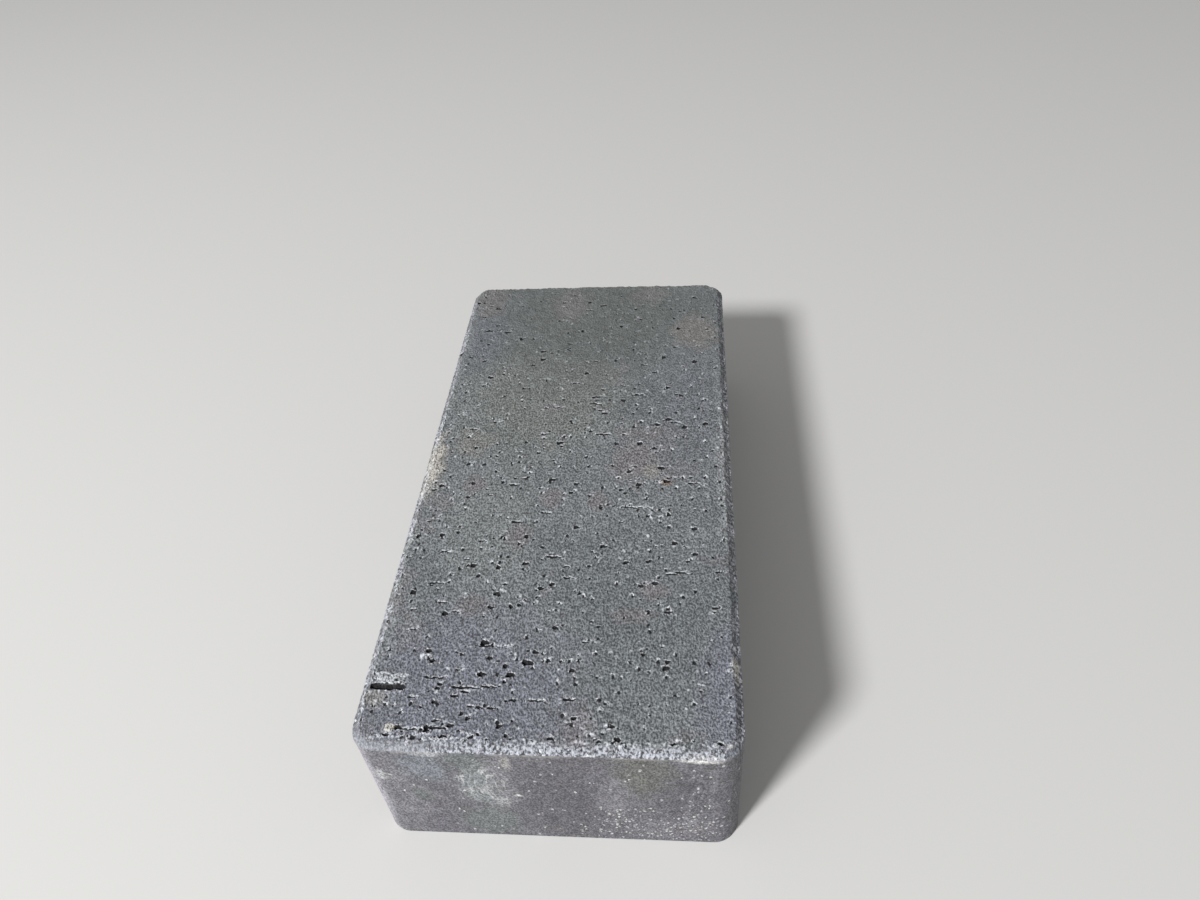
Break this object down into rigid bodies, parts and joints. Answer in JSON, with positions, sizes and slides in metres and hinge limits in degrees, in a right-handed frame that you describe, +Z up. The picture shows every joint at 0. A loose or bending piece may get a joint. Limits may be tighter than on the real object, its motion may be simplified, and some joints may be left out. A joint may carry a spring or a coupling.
{
  "type": "clay paving brick",
  "caption": "Solid rectangular paving brick of slate-grey fired clay, with rounded upright corners and a bevelled top edge.",
  "frame": {"origin": "middle of the underside, where the paver beds", "axes": "+Z up out of the wearing face, +Y along the length, +X across the width"},
  "size_m": [0.098, 0.2, 0.048],
  "materials": {
    "fired_clay": "matte wire-cut and die-smoothed fired clay, slate grey with brown and green-grey mottling"
  },
  "bodies": {
    "root": {"paver": "fired_clay"}
  },
  "joints": []
}
